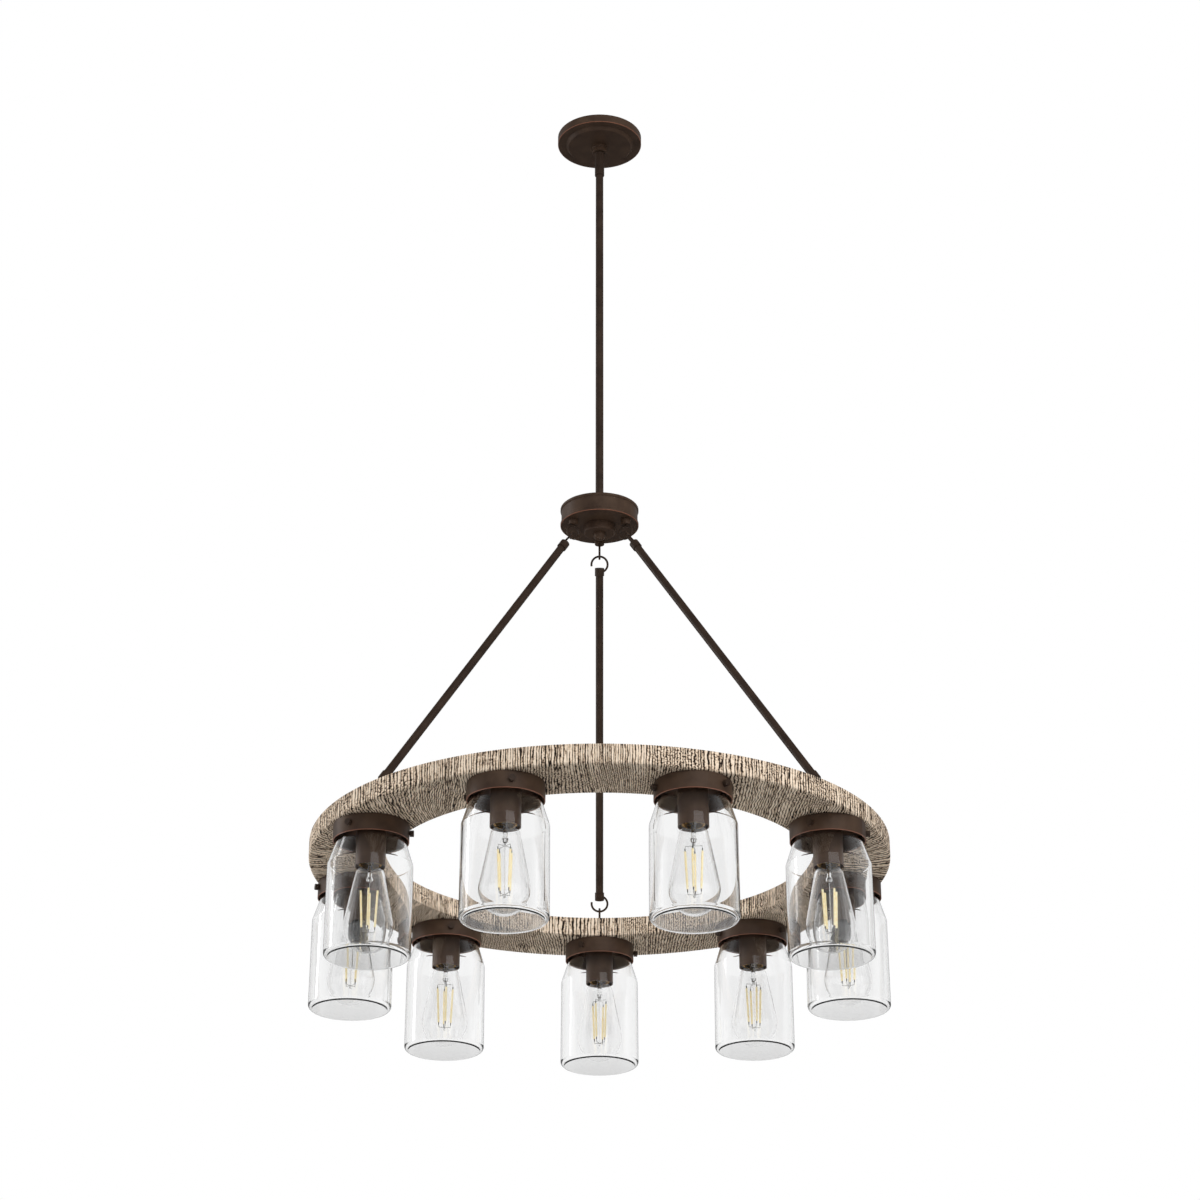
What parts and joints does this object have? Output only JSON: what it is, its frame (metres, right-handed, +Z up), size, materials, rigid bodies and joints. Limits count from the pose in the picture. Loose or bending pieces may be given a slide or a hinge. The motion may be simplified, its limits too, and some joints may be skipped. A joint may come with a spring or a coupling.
{
  "type": "wagon wheel chandelier",
  "caption": "Round chandelier: clear glass jar lights under a ridged barnwood ring, hung from a bronze hub and stem by slim hooked rods.",
  "frame": {"origin": "middle of the ceiling plate's slot pattern, on the ceiling plane", "axes": "+Z up into the ceiling along the stem, +Y towards the first arm and the first light, +X to the right seen from the pictured side"},
  "size_m": [0.786, 0.7909, 1.3586],
  "materials": {
    "bronze": "oil-rubbed bronze, satin, copper rubbed edges",
    "zinc": "zinc plated steel",
    "barnwood": "weathered barnwood with fine ridges",
    "clear_glass": "clear, smooth",
    "bulb_glass": "clear, thin",
    "brass": "plain",
    "phenolic": "moulded, dull",
    "filament": "cream phosphor",
    "nylon": "natural nylon"
  },
  "bodies": {
    "canopy_mount": {"ceiling_crossbar": "zinc", "crossbar_nipple": "zinc", "crossbar_nut": "zinc", "canopy": "bronze", "canopy_collar": "bronze", "swivel_housing": "bronze", "swivel_plug": "zinc"},
    "swivel_rocker": {"swivel_liner": "nylon"},
    "stem": {"swivel_ball": "bronze", "stem_sleeve": "bronze", "stem_rod": "bronze", "hub_housing": "bronze", "hub_cover": "bronze", "hub_boss": "bronze", "hub_finial": "bronze", "hub_nipple": "zinc", "hub_nipple_nuts": "zinc", "hub_eye_collars": "bronze", "hub_eye_nuts": "zinc", "hub_eye_bolts": "bronze"},
    "arm_1": {"arm_rod_1": "bronze", "arm_hook_top_1": "bronze", "arm_hook_bottom_1": "bronze"},
    "arm_2": {"arm_rod_2": "bronze", "arm_hook_top_2": "bronze", "arm_hook_bottom_2": "bronze"},
    "arm_3": {"arm_rod_3": "bronze", "arm_hook_top_3": "bronze", "arm_hook_bottom_3": "bronze"},
    "wheel": {"wheel_ring": "barnwood", "light_studs": "zinc", "ring_washers": "zinc", "light_nuts": "zinc", "ring_eye_collars": "bronze", "ring_eye_bolts": "bronze", "jar_holders": "bronze", "thumb_screws": "bronze", "socket_cups": "bronze", "lampholders": "phenolic", "lampholder_shells": "brass", "bulb_bases": "brass", "bulb_filaments": "filament", "bulb_glass_1": "bulb_glass", "bulb_glass_2": "bulb_glass", "bulb_glass_3": "bulb_glass", "bulb_glass_4": "bulb_glass", "bulb_glass_5": "bulb_glass", "bulb_glass_6": "bulb_glass", "bulb_glass_7": "bulb_glass", "bulb_glass_8": "bulb_glass", "bulb_glass_9": "bulb_glass"},
    "jar_1": {"jar_1": "clear_glass"},
    "jar_2": {"jar_2": "clear_glass"},
    "jar_3": {"jar_3": "clear_glass"},
    "jar_4": {"jar_4": "clear_glass"},
    "jar_5": {"jar_5": "clear_glass"},
    "jar_6": {"jar_6": "clear_glass"},
    "jar_7": {"jar_7": "clear_glass"},
    "jar_8": {"jar_8": "clear_glass"},
    "jar_9": {"jar_9": "clear_glass"}
  },
  "joints": [
    {"name": "swivel_tilt_x", "type": "hinge", "parent": "canopy_mount", "child": "swivel_rocker", "pos_m": [0, 0, -0.02265], "axis": [1, 0, 0], "range_deg": [-5, 5]},
    {"name": "swivel_tilt_y", "type": "hinge", "parent": "swivel_rocker", "child": "stem", "pos_m": [0, 0, -0.02265], "axis": [0, 1, 0], "range_deg": [-5, 5]},
    {"name": "wheel_twist", "type": "hinge", "parent": "stem", "child": "wheel", "pos_m": [0, 0, -1.152], "axis": [0, 0, 1], "range_deg": [-4, 4]},
    {"name": "arm_1_sway", "type": "hinge", "parent": "stem", "child": "arm_1", "pos_m": [0, 0.0476, -0.68834], "axis": [0, 0.8332, 0.5529], "range_deg": [-2.59, 2.59]},
    {"name": "arm_2_sway", "type": "hinge", "parent": "stem", "child": "arm_2", "pos_m": [0.04122, -0.0238, -0.68834], "axis": [0.7216, -0.4166, 0.5529], "range_deg": [-2.59, 2.59]},
    {"name": "arm_3_sway", "type": "hinge", "parent": "stem", "child": "arm_3", "pos_m": [-0.04122, -0.0238, -0.68834], "axis": [-0.7216, -0.4166, 0.5529], "range_deg": [-2.59, 2.59]},
    {"name": "jar_1_slide", "type": "slide", "parent": "wheel", "child": "jar_1", "axis": [0, 0, -1], "range_m": [0, 0.18]},
    {"name": "jar_2_slide", "type": "slide", "parent": "wheel", "child": "jar_2", "axis": [0, 0, -1], "range_m": [0, 0.18]},
    {"name": "jar_3_slide", "type": "slide", "parent": "wheel", "child": "jar_3", "axis": [0, 0, -1], "range_m": [0, 0.18]},
    {"name": "jar_4_slide", "type": "slide", "parent": "wheel", "child": "jar_4", "axis": [0, 0, -1], "range_m": [0, 0.18]},
    {"name": "jar_5_slide", "type": "slide", "parent": "wheel", "child": "jar_5", "axis": [0, 0, -1], "range_m": [0, 0.18]},
    {"name": "jar_6_slide", "type": "slide", "parent": "wheel", "child": "jar_6", "axis": [0, 0, -1], "range_m": [0, 0.18]},
    {"name": "jar_7_slide", "type": "slide", "parent": "wheel", "child": "jar_7", "axis": [0, 0, -1], "range_m": [0, 0.18]},
    {"name": "jar_8_slide", "type": "slide", "parent": "wheel", "child": "jar_8", "axis": [0, 0, -1], "range_m": [0, 0.18]},
    {"name": "jar_9_slide", "type": "slide", "parent": "wheel", "child": "jar_9", "axis": [0, 0, -1], "range_m": [0, 0.18]}
  ],
  "couplings": [
    {"joint": "arm_1_sway", "follows": "wheel_twist", "ratio": 0.64373},
    {"joint": "arm_2_sway", "follows": "wheel_twist", "ratio": 0.64373},
    {"joint": "arm_3_sway", "follows": "wheel_twist", "ratio": 0.64373}
  ]
}
